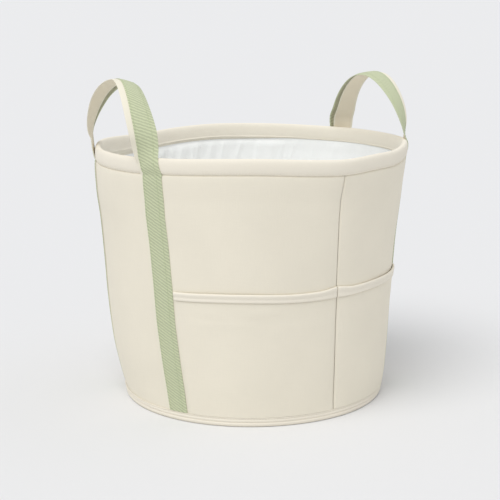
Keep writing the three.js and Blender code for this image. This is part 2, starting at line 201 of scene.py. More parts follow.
# How far the rim rises, in mm, at some azimuths in degrees
RIM_SHIFT = [(-180, 0), (-170, -1), (-161, -2), (-145, -0.9), (-138, 0), (-126, 1), (-110, 1),
             (-104, 0.6), (-86, 1.2), (-80, 2.3), (-74, 3.3), (-68, 3.7), (-62, 2.6), (-55, 0),
             (-25, -0.4), (-7, -1.4), (32, -1.4), (55, 0), (75, 0.8), (84, 1.2), (100, 1),
             (135, 0), (180, 0)]

# Height of the rim binding on the inside, in mm, at some azimuths in degrees
INNER_BAND = [(-180, 24), (-60, 19.5), (0, 18.3), (22, 17.5), (45, 18.3), (65, 19.8), (102, 20),
              (125, 24), (150, 27), (180, 24)]

# Stitches
STITCH_PITCH = 3.2 * MM
STITCH_LENGTH = 2.5 * MM
FIRST_STITCH = 0.2
THREAD_RADIUS = 0.22 * MM
STITCH_DIP = 0.3 * MM
STITCH_SIDES = 5
STITCH_SIDE_WIDTH = 0.3 * MM
RIM_STITCH_RISE = 2.2 * MM
RIM_STITCH_SINK = 0.05 * MM
INNER_STITCH_OFFSET = BAND_INNER - 0.1 * MM
HEM_STITCH_HEIGHT = 8.6 * MM
HEM_STITCH_OFFSET = 0.8 * MM
# Along a stitch: the share of its length, the share of its thread's width and its lift
STITCH_SHAPE = ((0, 0.4, -1), (0.2, 1, 0), (0.8, 1, 0), (1, 0.4, -1))

# Fineness; a face that ends under a binding has closer rows round the binding's foot, and its
# three counts of rows are those below, round and above the foot. A pocket's width is measured
# along one of its rows.
COLUMNS_AROUND = 360
TURN_STEP = 2 * math.pi / COLUMNS_AROUND
WALL_ROWS = 84
SHELL_COUNTS = (WALL_ROWS, 40, 4)
SHELL_CLOSE_BELOW = 14 * MM
POCKET_COUNTS = (34, 12, 4)
POCKET_CLOSE_BELOW = 4 * MM
CLOSE_ABOVE = 2 * MM
POCKET_WIDTH_ROW = 40
POCKET_EDGE_COLUMNS = [0, 0.004, 0.01, 0.018, 0.028]
SEAM_COLUMNS = (0.15 * MM, 0.4 * MM, 0.8 * MM, 1.3 * MM, 1.9 * MM, 2.6 * MM)
DISC_RINGS = (1, 0.995, 0.985, 0.97, 0.94, 0.9, 0.84, 0.77, 0.69, 0.6, 0.5, 0.4, 0.3, 0.2, 0.1, 0.002)
LOOP_ROWS = 96
LEG_ROWS = 96
STRIP_COLUMNS = 16
SHARP_ANGLE = math.radians(50)


# Small sums

def clamp(value, low=0.0, high=1.0):
    return min(max(value, low), high)


def smooth(value):
    value = clamp(value)
    return value * value * (3 - 2 * value)


def mix(start, end, share):
    return start + (end - start) * share


def spread(start, end, count):
    """count + 1 evenly spaced values from start to end."""
    return [start + (end - start) * i / count for i in range(count + 1)]


def wrapped(angle):
    return math.atan2(math.sin(angle), math.cos(angle))


def along(table, place):
    """The value at a place between the (place, value) rows of a table."""
    if place <= table[0][0]:
        return table[0][1]
    for (start, before), (end, after) in zip(table, table[1:]):
        if place <= end:
            return mix(before, after, (place - start) / (end - start))
    return table[-1][1]


def rounded(table, width, count=60):
    """A table with its corners rounded over a width."""
    def mean(place):
        nearby = [(along(table, place + width * turn / 4), 5 - abs(turn)) for turn in range(-4, 5)]
        return sum(value * weight for value, weight in nearby) / 25
    return [(place, mean(place)) for place in spread(table[0][0], table[-1][0], count)]


def bell(distance, half_width):
    turned = abs(wrapped(distance))
    return math.cos(turned / half_width * math.pi / 2) ** 2 if turned < half_width else 0.0


def around(azimuth, length, z, height):
    """A place for noise that joins up round the bin."""
    scale = RIM_RADIUS / length
    return Vector((math.cos(azimuth) * scale, math.sin(azimuth) * scale, z / height))


# The wall's surface

RIM_RISE = rounded(RIM_SHIFT, 6)
INNER_BAND_RISE = rounded(INNER_BAND, 12)
SIDE_RISES = [(azimuth, half_width, rounded(table, 12)) for azimuth, half_width, table in SIDE_SHIFTS]


def rim_height(azimuth):
    sink = sum(depth * bell(azimuth - place, width) for place, depth, width in RIM_DIPS)
    return BODY_HEIGHT - sink + along(RIM_RISE, math.degrees(wrapped(azimuth))) * MM


def band_foot(azimuth):
    return rim_height(azimuth) - BAND_HEIGHT


def inner_foot(azimuth):
    """Lower edge of the rim binding on the inside."""
    return rim_height(azimuth) - along(INNER_BAND_RISE, math.degrees(wrapped(azimuth))) * MM


def side_shift(azimuth, z):
    """How far the wall bulges or sinks at its two sides."""
    return sum(bell(azimuth - place, half_width) * along(table, z / MM)
               for place, half_width, table in SIDE_RISES) * MM


def ripple(azimuth, z):
    place = around(azimuth, RIPPLE_LENGTH, z, RIPPLE_HEIGHT)
    return RIPPLE_DEPTH * noise.noise(place) * smooth(z / RIPPLE_START)


def puff(azimuth, z):
    below = (band_foot(azimuth) - z) / PUFF_HEIGHT
    return PUFF_DEPTH * math.sin(math.pi * math.sqrt(below)) if 0 < below < 1 else 0.0


def foot_groove(azimuth, z):
    """How far the seam at the foot of the rim binding pulls the wall in."""
    return FOOT_GROOVE * (1 - smooth(abs(z - band_foot(azimuth)) / FOOT_GROOVE_HEIGHT))


def seam_valley(azimuth, z):
    """How far the wall sinks towards its two side seams."""
    near = clamp(1 - seam_distance(azimuth) / SEAM_VALLEY_WIDTH)
    fade = smooth(z / SEAM_VALLEY_FADE) * smooth((band_foot(azimuth) - z) / SEAM_VALLEY_FADE)
    return SEAM_VALLEY * near ** 2 * fade


def seam_drift(azimuth, z):
    """How far the front seam wanders sideways, in azimuth."""
    nearness = bell(azimuth - FRONT_SEAM, SEAM_DRIFT_HALF_WIDTH)
    return math.radians(along(SEAM_DRIFT, clamp(z / BODY_HEIGHT))) * nearness


def wall_radius(azimuth, z):
    share = clamp(z / BODY_HEIGHT)
    swell = BELLY_ALL_ROUND + BELLY_ONE_SIDE * math.cos(azimuth - BELLY_AZIMUTH)
    at_seam = (bell(azimuth - FRONT_SEAM, SEAM_FLARE_HALF_WIDTH)
               + bell(azimuth - BACK_SEAM, SEAM_FLARE_HALF_WIDTH))
    nominal = mix(BASE_RADIUS, RIM_RADIUS, share) + swell * math.sin(math.pi * share)
    flare = SEAM_FLARE * at_seam * share ** SEAM_FLARE_POWER
    soft = ripple(azimuth, z) + puff(azimuth, z) - foot_groove(azimuth, z) - seam_valley(azimuth, z)
    return nominal + flare + soft + side_shift(azimuth, z)


def wall_point(azimuth, z, offset):
    radius = wall_radius(azimuth, z) + offset
    drifted = azimuth + seam_drift(azimuth, z)
    return Vector((radius * math.cos(drifted), radius * math.sin(drifted), z))


def wall_normal(azimuth, z):
    step = 1 * MM
    rise = (wall_radius(azimuth, z + step) - wall_radius(azimuth, z - step)) / (2 * step)
    return Vector((math.cos(azimuth), math.sin(azimuth), -rise)).normalized()


def layer_top(azimuth, outer, inner):
    reach = max(abs(outer - BAND_CENTRE), abs(inner - BAND_CENTRE))
    arch = math.sqrt(BAND_HOLLOW ** 2 - reach ** 2)
    return rim_height(azimuth) - BAND_ROUND + arch - GAP


def seam_distance(azimuth):
    turned = min(abs(wrapped(azimuth - FRONT_SEAM)), abs(wrapped(azimuth - BACK_SEAM)))
    return turned * RIM_RADIUS


def seam_roll(azimuth):
    """How far a panel's face has turned in towards its seam."""
    return SEAM_GROOVE * (1 - smooth(seam_distance(azimuth) / SEAM_GROOVE_WIDTH))


# Building meshes

def add_object(name, data):
    made = bpy.data.objects.new(name, data)
    bpy.context.scene.collection.objects.link(made)
    return made


def add_piece(name, points, faces, flat, material, slot):
    """A piece from points and faces; flat gives each corner's place on the flat cloth."""
    mesh = bpy.data.meshes.new(name)
    mesh.from_pydata(points, [], faces)
    layer = mesh.uv_layers.new(name="cloth")
    for corner, place in zip(layer.data, flat):
        corner.uv = place
    shape = bmesh.new()
    shape.from_mesh(mesh)
    bmesh.ops.recalc_face_normals(shape, faces=shape.faces)
    shape.to_mesh(mesh)
    shape.free()
    mesh.shade_smooth()
    mesh.set_sharp_from_angle(angle=SHARP_ANGLE)
    mesh.materials.append(material)
    piece = add_object(name, mesh)
    return piece


def loft(name, rings, lengths, heights, material, slot, closed=False):
    """Skins rings of points; lengths and heights give each point's place on the flat cloth."""
    count, size = len(rings), len(rings[0])
    faces, flat = [], []
    for i in range(count if closed else count - 1):
        here, there = i * size, (i + 1) % count * size
        for j in range(size):
            k = (j + 1) % size
            faces.append((here + j, there + j, there + k, here + k))
            flat += [(lengths[i], heights[j]), (lengths[i + 1], heights[j]),
                     (lengths[i + 1], heights[k]), (lengths[i], heights[k])]
    if not closed:
        for first in (0, (count - 1) * size):
            faces.append(tuple(range(first, first + size)))
            flat += [(lengths[0], height) for height in heights]
    points = [point for ring in rings for point in ring]
    return add_piece(name, points, faces, flat, material, slot)


def running_lengths(points, closed=False):
    following = points[1:] + points[:1] if closed else points[1:]
    total, lengths = 0.0, [0.0]
    for here, there in zip(points, following):
        total += (there - here).length
        lengths.append(total)
    return lengths


def ring_azimuths():
    return [FRONT_SEAM + TURN_STEP * i for i in range(COLUMNS_AROUND)]


def panel_azimuths(start, end):
    """Columns of a panel, closer together next to its two seams."""
    near = [distance / RIM_RADIUS for distance in SEAM_COLUMNS]
    middle = spread(start + TURN_STEP, end - TURN_STEP, COLUMNS_AROUND // 2 - 2)
    return [start + step for step in near] + middle + [end - step for step in reversed(near)]


def rows_past_foot(bottom, foot, top, below, counts):
    """Heights up a face, closer together round the foot of the binding that covers its top."""
    stops = (bottom, foot - below, foot + CLOSE_ABOVE, top)
    rows = [bottom]
    for start, end, count in zip(stops, stops[1:], counts):
        rows += spread(start, end, count)[1:]
    return rows


def wall_loft(name, azimuths, outline, material, slot, closed=False):
    """Lofts a wall layer; outline(azimuth) lists (offset, height) round its section."""
    sections = [outline(azimuth) for azimuth in azimuths]
    rings = [[wall_point(azimuth, z, offset) for offset, z in section]
             for azimuth, section in zip(azimuths, sections)]
    ends = azimuths + [azimuths[0] + 2 * math.pi] if closed else azimuths
    lengths = [azimuth * RIM_RADIUS for azimuth in ends]
    heights = [z for _, z in sections[0]]
    return loft(name, rings, lengths, heights, material, slot, closed)


# Materials

CLOUD_SCALE = 14.0
CLOUD_DETAIL = 3.0
DARKEST_THREAD = 0.7
BUMP_STRENGTH = 0.6
SLUB_STRETCHES = ((60.0, 1400.0, 1.0), (1400.0, 60.0, 1.0))
TWILL_WOBBLE = 3.6
TWILL_WOBBLE_SCALE = 260.0
TWILL_THREAD = 0.7 * MM


class Graph:
    """Adds nodes to a material and links them."""

    def __init__(self, material):
        self.tree = material.node_tree

    def node(self, kind, inputs=(), **settings):
        made = self.tree.nodes.new(kind)
        for key, value in settings.items():
            setattr(made, key, value)
        for key, value in dict(inputs).items():
            self.feed(made.inputs[key], value)
        return made

    def feed(self, socket, value):
        if isinstance(value, bpy.types.NodeSocket):
            self.tree.links.new(value, socket)
        else:
            socket.default_value = value

    def math(self, operation, *values):
        return self.node("ShaderNodeMath", enumerate(values), operation=operation).outputs[0]

    def mix_colour(self, share, first, second):
        made = self.node("ShaderNodeMix", {0: share, 6: first, 7: second}, data_type="RGBA")
        return made.outputs[2]

    def noise(self, vector, scale, detail=2.0):
        return self.node("ShaderNodeTexNoise",
                         {"Vector": vector, "Scale": scale, "Detail": detail}).outputs["Fac"]


def linear(red, green, blue):
    """A colour as it is seen, from 0 to 255, as Blender's linear values."""
    def channel(value):
        value /= 255
        return value / 12.92 if value <= 0.04045 else ((value + 0.055) / 1.055) ** 2.4
    return (channel(red), channel(green), channel(blue), 1.0)


def shaded(colour, factor):
    return tuple(value * factor for value in colour[:3]) + (1.0,)


def cloth(name, colour, relief, roughness=0.92, sheen=0.1, cloud=0.06):
    """A cloth whose relief(graph, u, v) gives the height and tone of its threads."""
    material = bpy.data.materials.new(name)
    material.use_nodes = True
    shader = material.node_tree.nodes["Principled BSDF"]
    graph = Graph(material)
    place = graph.node("ShaderNodeUVMap", uv_map="cloth").outputs["UV"]
    split = graph.node("ShaderNodeSeparateXYZ", {"Vector": place})
    height, tone, depth = relief(graph, split.outputs["X"], split.outputs["Y"])
    solid = graph.node("ShaderNodeTexCoord").outputs["Object"]
    clouds = graph.noise(solid, CLOUD_SCALE, CLOUD_DETAIL)
    base = graph.mix_colour(clouds, shaded(colour, 1 - cloud), shaded(colour, 1 + cloud / 2))
    tinted = graph.mix_colour(tone, shaded(colour, DARKEST_THREAD), base)
    bump = graph.node("ShaderNodeBump",
                      {"Height": height, "Strength": BUMP_STRENGTH, "Distance": depth})
    graph.feed(shader.inputs["Base Color"], tinted)
    graph.feed(shader.inputs["Normal"], bump.outputs["Normal"])
    shader.inputs["Roughness"].default_value = roughness
    shader.inputs["Specular IOR Level"].default_value = 0.2
    shader.inputs["Sheen Weight"].default_value = sheen
    shader.inputs["Sheen Roughness"].default_value = 0.5
    return material


def plain_weave(pitch, depth, contrast):
    """Over and under threads, with a few thicker yarns both ways."""
    def relief(graph, u, v):
        across = graph.math("SINE", graph.math("MULTIPLY", u, 2 * math.pi / pitch))
        upward = graph.math("SINE", graph.math("MULTIPLY", v, 2 * math.pi / pitch))
        threads = graph.math("MULTIPLY", across, upward)
        flat = graph.node("ShaderNodeCombineXYZ", {"X": u, "Y": v}).outputs[0]
        slubs = []
        for stretch in SLUB_STRETCHES:
            scaled = graph.node("ShaderNodeVectorMath", {0: flat, 1: stretch},
                                operation="MULTIPLY").outputs[0]
            slubs.append(graph.noise(scaled, 1.0, 1.0))
        yarns = graph.math("ADD", *slubs)
        height = graph.math("ADD", graph.math("MULTIPLY", threads, 0.5), yarns)
        shade = graph.math("MULTIPLY", graph.math("SUBTRACT", height, 1.0), contrast)
        tone = graph.math("ADD", shade, 0.95)
        return height, tone, depth
    return relief


def twill_weave(pitch, slope, depth, contrast):
    """Slanting ridges of a twill tape, over fine threads."""
    def relief(graph, u, v):
        turn = 2 * math.pi / pitch
        slanted = graph.math("ADD", graph.math("MULTIPLY", u, turn * math.cos(slope)),
                             graph.math("MULTIPLY", v, turn * math.sin(slope)))
        flat = graph.node("ShaderNodeCombineXYZ", {"X": u, "Y": v}).outputs[0]
        wobble = graph.math("MULTIPLY", graph.noise(flat, TWILL_WOBBLE_SCALE), TWILL_WOBBLE)
        wave = graph.math("SINE", graph.math("ADD", slanted, wobble))
        ridges = graph.math("MULTIPLY_ADD", wave, 0.5, 0.5)
        threads = graph.math("SINE", graph.math("MULTIPLY", u, 2 * math.pi / TWILL_THREAD))
        height = graph.math("MULTIPLY_ADD", threads, 0.15, ridges)
        tone = graph.math("MULTIPLY_ADD", height, contrast, 0.95 - contrast)
        return height, tone, depth
    return relief


CANVAS = cloth("canvas", linear(242, 235, 217), plain_weave(1.0 * MM, 0.12 * MM, 0.1))
BINDING = cloth("canvas_binding", linear(243, 236, 220), plain_weave(0.8 * MM, 0.1 * MM, 0.1))
LINING = cloth("lining", linear(252, 253, 251), plain_weave(0.5 * MM, 0.05 * MM, 0.05),
               roughness=0.8, cloud=0.03)
PADDING = cloth("padding", linear(240, 238, 232), plain_weave(3.0 * MM, 0.3 * MM, 0.1))
GREEN_TWILL = twill_weave(3.3 * MM, math.radians(27), 0.5 * MM, 0.9)
CREAM_TWILL = twill_weave(1.2 * MM, math.radians(32), 0.1 * MM, 0.12)
GREEN = cloth("green_twill", linear(212, 219, 182), GREEN_TWILL, roughness=0.8)
# The tape's underside is the darker back of its weave, darkened further as painted shade for the
# overhang under the loop
GREEN_BACK_WITH_PAINTED_SHADE = cloth("green_twill_back_painted_shade", linear(184, 182, 152), GREEN_TWILL, roughness=0.8)
CREAM = cloth("cream_twill", linear(243, 237, 218), CREAM_TWILL, roughness=0.85)
CREAM_UNDERSIDE = cloth("cream_twill_underside", linear(241, 231, 208), CREAM_TWILL, roughness=0.85)
THREAD_TWIST = twill_weave(0.5 * MM, math.radians(50), 0.05 * MM, 0.2)
THREAD = cloth("cream_thread", linear(236, 229, 211), THREAD_TWIST, roughness=0.6)
GREEN_THREAD = cloth("green_thread", linear(182, 196, 152), THREAD_TWIST, roughness=0.6)
BOARD = cloth("board", linear(186, 164, 124), plain_weave(6.0 * MM, 0.05 * MM, 0.1))


# Stitches

def stitch_row(points, normals):
    """Stitches along a line of points; each dips into the cloth at both ends."""
    lengths = running_lengths(points)
    count = int(lengths[-1] // STITCH_PITCH)
    place = 0

    def at(length):
        nonlocal place
        while place < len(points) - 2 and lengths[place + 1] < length:
            place += 1
        share = (length - lengths[place]) / max(lengths[place + 1] - lengths[place], 1e-9)
        return (points[place].lerp(points[place + 1], share),
                normals[place].lerp(normals[place + 1], share).normalized())

    row = []
    for i in range(count):
        start = (i + FIRST_STITCH) * STITCH_PITCH
        if start + STITCH_LENGTH > lengths[-1]:
            break
        stitch = []
        for share, width, lift in STITCH_SHAPE:
            centre, normal = at(start + share * STITCH_LENGTH)
            stitch.append((centre + normal * (THREAD_RADIUS * 0.5 + STITCH_DIP * lift),
                           normal, width))
        row.append(stitch)
    return row


def stitches(name, lines, material, slot):
    """One mesh of all the stitches along the given (points, normals) lines."""
    vertices, faces, flat = [], [], []
    made = [stitch for line in lines for stitch in stitch_row(*line)]
    for stitch in made:
        ahead = (stitch[-1][0] - stitch[0][0]).normalized()
        first = len(vertices)
        for centre, normal, width in stitch:
            side = ahead.cross(normal).normalized()
            for k in range(STITCH_SIDES):
                turn = 2 * math.pi * k / STITCH_SIDES
                vertices.append(centre + (side * math.cos(turn) + normal * math.sin(turn))
                                * (THREAD_RADIUS * width))
        for i in range(len(stitch) - 1):
            for k in range(STITCH_SIDES):
                here, there = first + i * STITCH_SIDES, first + (i + 1) * STITCH_SIDES
                after = (k + 1) % STITCH_SIDES
                faces.append((here + k, there + k, there + after, here + after))
                corners = ((k, i), (k, i + 1), (k + 1, i + 1), (k + 1, i))
                flat += [(turns * STITCH_SIDE_WIDTH, steps * MM) for turns, steps in corners]
        for end in (first, first + (len(stitch) - 1) * STITCH_SIDES):
            faces.append(tuple(range(end, end + STITCH_SIDES)))
            flat += [(0, 0)] * STITCH_SIDES
    return add_piece(name, vertices, faces, flat, material, slot)


# Wall layers

def shell_outline(azimuth):
    top = layer_top(azimuth, 0, SHELL_INNER)
    rows = rows_past_foot(SHELL_BOTTOM, band_foot(azimuth), top, SHELL_CLOSE_BELOW, SHELL_COUNTS)
    face = [(-seam_roll(azimuth), z) for z in rows]
    back = [(SHELL_INNER, z) for z in spread(top, SHELL_BOTTOM, WALL_ROWS // 4)]
    return face + back


def foam_outline(azimuth):
    top = layer_top(azimuth, FOAM_OUTER, FOAM_INNER)
    face = [(FOAM_OUTER, z) for z in spread(SHELL_BOTTOM, top, WALL_ROWS // 4)]
    back = [(FOAM_INNER, z) for z in spread(top, SHELL_BOTTOM, WALL_ROWS // 4)]
    return face + back


def add_wall():
    seam_gap = GAP / 2 / BASE_RADIUS
    for side, seam in (("left", BACK_SEAM), ("right", FRONT_SEAM)):
        ends = (seam + seam_gap, seam + math.pi - seam_gap)
        shell = wall_loft(f"canvas_{side}", panel_azimuths(*ends), shell_outline, CANVAS, "canvas")
        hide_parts(f"shell_panel_{side}")
        foam = wall_loft(f"padding_{side}", spread(*ends, COLUMNS_AROUND // 4), foam_outline,
                         PADDING, "foam")
        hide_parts(f"wall_foam_{side}")
        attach(shell, "bin")
        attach(foam, "bin")


# Lining

LINING_FOLD_DEPTH = 3.2 * MM
LINING_FOLD_LENGTH = 15 * MM
LINING_FOLD_HEIGHT = 120 * MM
COARSER_ROUND = 2.2
COARSER_UP = 1.5
RIDGE_SHARPNESS = 2.2
PLAIN_HEIGHT = 0.45
RIDGE_HEIGHT = 0.5
COARSE_HEIGHT = 0.8
LINING_SLANT = 0.25
LINING_LIP = 1.3 * MM
LINING_LIP_START = 2 * MM
LINING_LIP_END = 16 * MM
LINING_FREE_BELOW = 9 * MM
LINING_FREE_ABOVE = 12 * MM
WRINKLED_AZIMUTH = math.radians(90)
WRINKLED_HALF_WIDTH = math.radians(110)
LEAST_WRINKLED = 0.35
WRINKLED_AT_FLOOR = 0.45
FLOOR_WRINKLE = 1.1 * MM
FLOOR_WRINKLE_LENGTH = 45 * MM
FLOOR_WRINKLE_EDGE = 15 * MM


def lining_fold(azimuth, z):
    """How far the lining stands in from the padding, in upright wrinkles."""
    below = inner_foot(azimuth) - z
    ease = smooth(below / LINING_FREE_BELOW) * smooth((z - LINING_BOTTOM) / LINING_FREE_ABOVE)
    lip = LINING_LIP * smooth(below / LINING_LIP_START) * (1 - smooth(below / LINING_LIP_END))
    if ease == 0:
        return lip
    slanted = azimuth + LINING_SLANT * z / RIM_RADIUS
    coarse = noise.noise(around(slanted, LINING_FOLD_LENGTH * COARSER_ROUND,
                                z, LINING_FOLD_HEIGHT * COARSER_UP))
    fine = noise.noise(around(slanted, LINING_FOLD_LENGTH, z, LINING_FOLD_HEIGHT))
    ridge = (1 - abs(fine) * RIDGE_SHARPNESS) ** 2
    strength = mix(LEAST_WRINKLED, 1.0, bell(azimuth - WRINKLED_AZIMUTH, WRINKLED_HALF_WIDTH))
    fade = mix(1.0, WRINKLED_AT_FLOOR, smooth(below / BODY_HEIGHT))
    height = PLAIN_HEIGHT + RIDGE_HEIGHT * ridge + COARSE_HEIGHT * max(coarse, 0)
    return lip + LINING_FOLD_DEPTH * ease * strength * fade * height


def lining_outline(azimuth):
    top = layer_top(azimuth, LINING_OUTER, LINING_INNER)
    up = spread(LINING_BOTTOM, top, WALL_ROWS)
    face = [(LINING_INNER - lining_fold(azimuth, z), z) for z in up]
    back = [(LINING_OUTER - lining_fold(azimuth, z), z) for z in reversed(up)]
    return face + back


def lining_azimuths():
    return spread(FRONT_SEAM, FRONT_SEAM + 2 * math.pi, COLUMNS_AROUND * 2)[:-1]


def floor_disc(name, radius, bottom, thickness, relief, material, slot):
    """A disc of cloth; relief(x, y) raises its upper face."""
    rings_in = [share * radius for share in DISC_RINGS]
    sections = []
    for azimuth in ring_azimuths():
        east, north = math.cos(azimuth), math.sin(azimuth)
        upper = [Vector((r * east, r * north, bottom + thickness + relief(r * east, r * north)))
                 for r in rings_in]
        lower = [Vector((r * east, r * north, bottom)) for r in reversed(rings_in)]
        sections.append(upper + lower)
    unset_lengths, unset_heights = [0.0] * (COLUMNS_AROUND + 1), [0.0] * len(sections[0])
    disc = loft(name, sections, unset_lengths, unset_heights, material, slot, closed=True)
    layer = disc.data.uv_layers["cloth"]
    for loop, corner in zip(disc.data.loops, layer.data):
        corner.uv = disc.data.vertices[loop.vertex_index].co.xy
    return disc


def floor_wrinkle(x, y):
    edge = smooth((BASE_RADIUS + LINING_INNER - math.hypot(x, y)) / FLOOR_WRINKLE_EDGE)
    return FLOOR_WRINKLE * edge * (0.5 + noise.noise(Vector((x, y, 0)) / FLOOR_WRINKLE_LENGTH))


def add_lining():
    wall = wall_loft("lining_skirt", lining_azimuths(), lining_outline, LINING, "lining", closed=True)
    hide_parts("lining_wall")
    radius = BASE_RADIUS + LINING_INNER - GAP
    disc = floor_disc("lining_floor", radius, LINING_BOTTOM, LINING_THICKNESS, floor_wrinkle,
                      LINING, "lining")
    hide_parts("lining_base")
    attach(wall, "bin")
    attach(disc, "bin")


# Base

def add_base():
    radius = BASE_RADIUS + HEM_REACH - GAP
    under = floor_disc("base_underside", radius, 0, BASE_CANVAS_THICKNESS, lambda x, y: 0.0,
                       CANVAS, "canvas")
    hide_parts("base_canvas")
    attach(under, "bin")
    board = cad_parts["base_board"]
    for slot in board.material_slots:
        slot.material = BOARD


# Bindings round the rim and the bottom edge

def band_width(share, widest, at_foot):
    """How far a face of the binding stands from its middle at a share of its height."""
    if share > BAND_WIDEST:
        rise = min((share - BAND_WIDEST) / (1 - BAND_WIDEST), 1)
        return widest * (1 - rise ** BAND_FULLNESS) ** (1 / BAND_FULLNESS)
    return widest - (widest - at_foot) * (1 - share / BAND_WIDEST) ** 2


def band_face(azimuth, z):
    """Offset of the binding's outer face."""
    share = clamp((z - band_foot(azimuth)) / BAND_HEIGHT)
    phase = PUCKER_WANDER * noise.noise(around(azimuth, PUCKER_WANDER_LENGTH, 0, 1))
    ripple_turn = azimuth * RIM_RADIUS * 2 * math.pi / PUCKER_LENGTH + phase
    pucker = PUCKER_DEPTH * (1 - smooth(share * PUCKER_FADE)) * math.sin(ripple_turn)
    widest, at_foot = BAND_OUTER + BAND_BULGE - BAND_CENTRE, GAP + BAND_FOOT_STEP - BAND_CENTRE
    return BAND_CENTRE + band_width(share, widest, at_foot) + pucker


def rim_outline(azimuth):
    crest, foot, lower = rim_height(azimuth), band_foot(azimuth), inner_foot(azimuth)
    shoulder = crest - BAND_ROUND
    turns = [math.sin(turn) ** (2 / BAND_FULLNESS) for turn in spread(0, math.pi / 2, 12)]
    shares = spread(0, BAND_WIDEST, 12)[:-1] + [mix(BAND_WIDEST, 1, turn) for turn in turns]
    outer = [(band_face(azimuth, foot + BAND_HEIGHT * share), foot + BAND_HEIGHT * share)
             for share in shares]
    inside_widest = BAND_CENTRE - BAND_INNER + INNER_BAND_BULGE
    inside_foot = BAND_CENTRE - LINING_INNER + GAP + INNER_BAND_FOOT_STEP
    inside = [(BAND_CENTRE - band_width(share, inside_widest, inside_foot),
               mix(lower, crest, share)) for share in shares[-2::-1]]
    lining_side = [(LINING_INNER - GAP, z) for z in spread(lower, shoulder, 4)]
    hollow = [(BAND_CENTRE + BAND_HOLLOW * math.cos(turn), shoulder + BAND_HOLLOW * math.sin(turn))
              for turn in spread(math.pi, 0, 8)[1:-1]]
    shell_side = [(GAP * 0.5, z) for z in spread(shoulder, foot, 4)]
    return outer + inside + lining_side + hollow + shell_side


# Offset and height of the bottom binding's outer face, in mm, with its two grooves
HEM_PROFILE = [(1.1, 10), (1.35, 9.6), (1.2, 9.1), (0.75, 8.6), (1.15, 8.1), (1.4, 7), (1.4, 6),
               (1.25, 5.3), (0.75, 4.9), (1.25, 4.4), (1.6, 3.5), (1.65, 2.4), (1.5, 1.3), (1.1, 0.5),
               (0.3, 0.05)]


def hem_outline(azimuth):
    outer = [(offset * MM, z * MM) for offset, z in HEM_PROFILE]
    under = [(HEM_REACH, 0), (HEM_REACH, 1 * MM)]
    inner = [(GAP, 1 * MM), (GAP, 5 * MM), (GAP, HEM_HEIGHT)]
    return outer + under + inner


def add_bindings():
    rim = wall_loft("rim_roll", lining_azimuths(), rim_outline, BINDING, "canvas_binding",
                    closed=True)
    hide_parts("rim_binding")
    hem = wall_loft("hem_roll", ring_azimuths(), hem_outline, BINDING, "canvas_binding", closed=True)
    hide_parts("base_binding")
    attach(rim, "bin")
    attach(hem, "bin")


# Pockets

def stray(handle, side, z):
    return along(handle["sides"][side]["stray"], z / MM) * MM


def leg_azimuth(handle, side, across, z):
    """Azimuth of a place across a strap leg, measured along the wall."""
    azimuth, radius = handle["azimuth"], RIM_RADIUS
    for _ in range(2):
        radius = wall_radius(azimuth, z)
        azimuth = handle["azimuth"] + side * math.asin(LEG_HALF_SPACING / radius)
    return azimuth + side * (across + stray(handle, side, z)) / radius


def pocket_azimuth(pocket, share, z):
    wander = POCKET_SEAM_WANDER * noise.noise(Vector((pocket["seam"], 0, z / POCKET_SEAM_WAVE)))
    from_seam = pocket["turn"] * POCKET_SEAM_GAP / 2 + wander * smooth(z / POCKET_HEIGHT)
    seam_edge = pocket["seam"] + from_seam / wall_radius(pocket["seam"], z)
    across = STRAP_WIDTH / 2 + POCKET_STRAP_GAP
    strap_edge = leg_azimuth(pocket["handle"], -pocket["turn"], across, z)
    return seam_edge + wrapped(strap_edge - seam_edge) * share


def pocket_top(pocket, share):
    azimuth = pocket_azimuth(pocket, share, POCKET_HEIGHT)
    peak = POCKET_PEAK * bell(azimuth - pocket["seam"], POCKET_PEAK_HALF_WIDTH)
    return POCKET_HEIGHT + peak + along(pocket["lift"], share) * MM


def pocket_binding_foot(pocket, share):
    widened = POCKET_BINDING_SPREAD * (1 - smooth(share / POCKET_BINDING_SPREAD_SHARE))
    return POCKET_HEIGHT - POCKET_BINDING_HEIGHT - widened + along(pocket["lift"], share) * MM


def stand_off(pocket, share, z):
    """Distance from the wall to the inside of a pocket, more open towards the strap."""
    lift = clamp((z - HEM_HEIGHT) / (POCKET_HEIGHT - HEM_HEIGHT))
    slack = POCKET_SLACK * math.sin(math.pi * share ** POCKET_SLACK_SKEW) * lift ** 3
    azimuth = pocket_azimuth(pocket, share, z)
    drape_place = around(azimuth, POCKET_DRAPE_LENGTH, z, POCKET_DRAPE_HEIGHT)
    drape = POCKET_DRAPE_BASE + noise.noise(drape_place)
    below = clamp((POCKET_HEIGHT - z) / DRAG_FOLD_REACH)
    slanted = azimuth + DRAG_FOLD_SLANT * z / RIM_RADIUS
    drag = noise.noise(around(slanted, DRAG_FOLD_LENGTH, z, DRAG_FOLD_HEIGHT))
    edges = math.sin(math.pi * share)
    soft = (POCKET_DRAPE * drape * smooth(lift * 4) * (1 - lift ** 4)
            + DRAG_FOLD * drag * math.sin(math.pi * below))
    return GAP + slack + max(soft, 0) * edges


def pocket_point(pocket, share, z, offset):
    return wall_point(pocket_azimuth(pocket, share, z), z, stand_off(pocket, share, z) + offset)


def pocket_shares():
    near = POCKET_EDGE_COLUMNS
    return near + spread(0.04, 0.96, 46) + [1 - share for share in reversed(near)]


def edge_roll(share):
    """How far a pocket's face has turned in at its two upright edges."""
    return POCKET_EDGE_ROLL * (1 - smooth(min(share, 1 - share) / POCKET_EDGE_SHARE))


def pocket_face(share, above):
    """Offset of a pocket's face, with a groove under its binding."""
    groove = POCKET_GROOVE * (1 - smooth(abs(above) / POCKET_GROOVE_HEIGHT))
    return POCKET_THICKNESS - max(edge_roll(share), groove)


